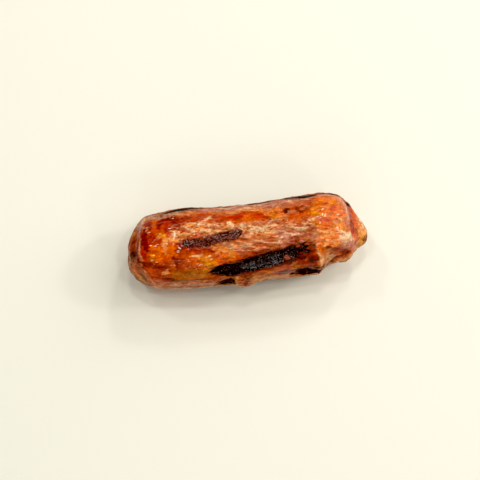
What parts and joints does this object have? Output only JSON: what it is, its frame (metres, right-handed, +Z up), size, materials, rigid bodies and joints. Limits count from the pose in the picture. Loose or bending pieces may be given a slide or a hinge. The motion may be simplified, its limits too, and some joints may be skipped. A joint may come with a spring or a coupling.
{
  "type": "grilled sausage link",
  "caption": "Short thick sausage link with a glossy browned casing, charred grill bars, a rounded end and a pinched, puckered end.",
  "frame": {"origin": "centre of the footprint, at the height of the surface that the link rests on", "axes": "+X along the link towards its pinched end, +Z up, and +Y towards the back, the side away from the long charred bar"},
  "size_m": [0.1084, 0.0392, 0.0345],
  "materials": {
    "casing": "Cooked sausage casing, orange-brown to deep red-brown, shiny with fat, with matt black charred bars"
  },
  "bodies": {
    "root": {"sausage": "casing"}
  },
  "joints": []
}
